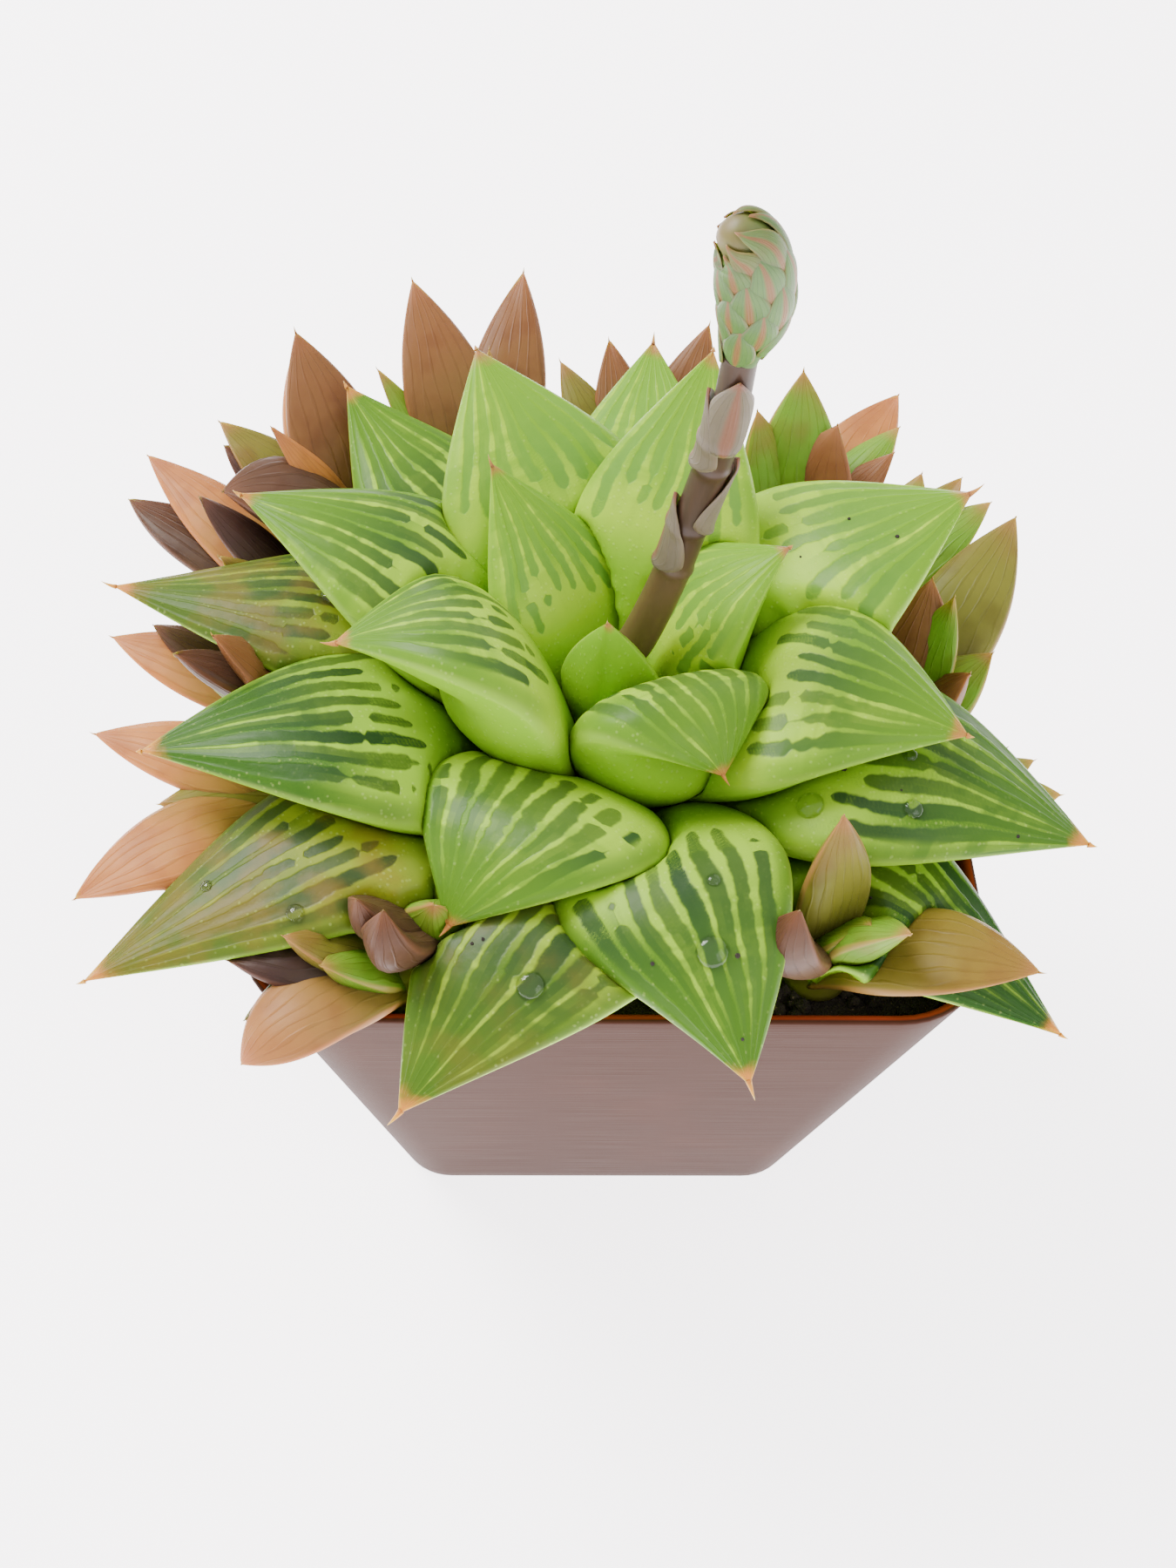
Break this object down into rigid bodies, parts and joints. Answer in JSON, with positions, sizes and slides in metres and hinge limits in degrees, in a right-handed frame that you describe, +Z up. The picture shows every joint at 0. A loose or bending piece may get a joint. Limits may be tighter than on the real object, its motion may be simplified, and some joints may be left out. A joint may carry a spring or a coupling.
{
  "type": "potted succulent",
  "caption": "Star-shaped fleshy window succulent with a fringe of small offsets and a budding flower stalk, growing in a square tapered plastic pot",
  "frame": {"origin": "The middle of the pot's flat underside, on the surface that it stands on.", "axes": "+Z up along the pot, +X to the plant's right and +Y towards its back as it is seen from the front; the pot's flat sides face along X and Y."},
  "size_m": [0.0785, 0.079, 0.0986],
  "materials": {
    "pot_plastic": "satin moulded terracotta-mauve plastic with a faint brushed haze",
    "soil_mix": "rough near-black potting mix",
    "stem_tissue": "matt pale green-brown stem",
    "leaf_green": "waxy pale yellow-green skin with darker translucent windows between fine lines",
    "leaf_aged": "waxy olive skin with orange-brown lines",
    "offset_skin": "waxy brown, mauve, peach and green leaves with darker veins",
    "stalk_skin": "smooth brown-mauve stalk",
    "bract_paper": "papery translucent pinkish white with a reddish midrib and edges",
    "bud_skin": "whitish green with reddish midveins"
  },
  "bodies": {
    "root": {"bract_1": "bract_paper", "bract_2": "bract_paper", "bract_3": "bract_paper", "bract_4": "bract_paper", "flower_bud": "bud_skin", "flower_stalk": "stalk_skin", "leaf_back_left": "leaf_green", "leaf_back_right": "leaf_green", "leaf_front_right": "leaf_green", "leaf_heart_front": "leaf_green", "leaf_inner_back": "leaf_green", "leaf_inner_front": "leaf_green", "leaf_inner_left": "leaf_green", "leaf_inner_right": "leaf_green", "leaf_middle_back": "leaf_green", "leaf_middle_front": "leaf_green", "leaf_middle_left": "leaf_green", "leaf_middle_right": "leaf_green", "leaf_outer_back": "leaf_green", "leaf_outer_back_left": "leaf_green", "leaf_outer_front": "leaf_aged", "leaf_outer_front_left": "leaf_aged", "leaf_outer_front_right": "leaf_green", "leaf_outer_left": "leaf_green", "leaf_outer_left_back": "leaf_aged", "leaf_outer_right": "leaf_green", "offset_back": "offset_skin", "offset_back_left": "offset_skin", "offset_back_right": "offset_skin", "offset_front": "offset_skin", "offset_front_left": "offset_skin", "offset_front_right": "offset_skin", "offset_left": "offset_skin", "offset_left_back": "offset_skin", "offset_left_front": "offset_skin", "offset_left_low": "offset_skin", "offset_right": "offset_skin", "offset_right_back": "offset_skin", "offset_right_front": "offset_skin", "pot": "pot_plastic", "rosette_stem": "stem_tissue", "soil": "soil_mix"}
  },
  "joints": []
}
